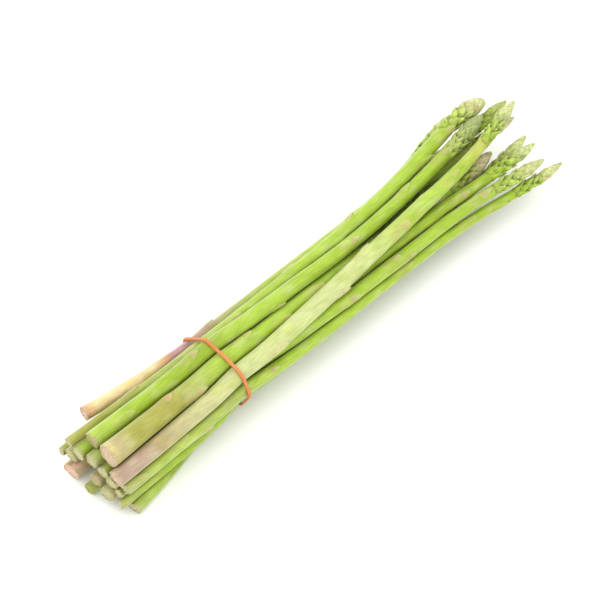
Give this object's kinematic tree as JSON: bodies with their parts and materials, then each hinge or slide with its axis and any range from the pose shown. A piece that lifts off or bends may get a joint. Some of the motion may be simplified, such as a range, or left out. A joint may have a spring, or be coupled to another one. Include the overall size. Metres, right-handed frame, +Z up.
{
  "type": "bunch of asparagus",
  "caption": "A bunch of green asparagus spears with scaly heads, lying on its side, held near the cut ends by one thin rubber band.",
  "frame": {"origin": "middle of the bunch's underside, on the surface that it lies on", "axes": "+X runs along the bunch from the cut ends to the tips, +Z is up, +Y is the side of the drooping head"},
  "size_m": [0.2656, 0.0536, 0.0344],
  "materials": {
    "green_spear": "waxy satin",
    "pale_spear": "waxy satin",
    "cream_spear": "waxy satin",
    "band_rubber": "matte"
  },
  "bodies": {
    "root": {"spear_01": "green_spear", "spear_02": "pale_spear", "spear_03": "green_spear", "spear_04": "green_spear", "spear_05": "green_spear", "spear_06": "green_spear", "spear_07": "green_spear", "spear_08": "green_spear", "spear_09": "cream_spear", "spear_10": "green_spear", "spear_11": "green_spear", "spear_12": "green_spear", "spear_13": "green_spear", "spear_14": "green_spear", "spear_15": "green_spear", "spear_16": "cream_spear", "spear_17": "green_spear", "spear_18": "green_spear", "spear_19": "green_spear", "spear_20": "green_spear", "rubber_band": "band_rubber"}
  },
  "joints": []
}
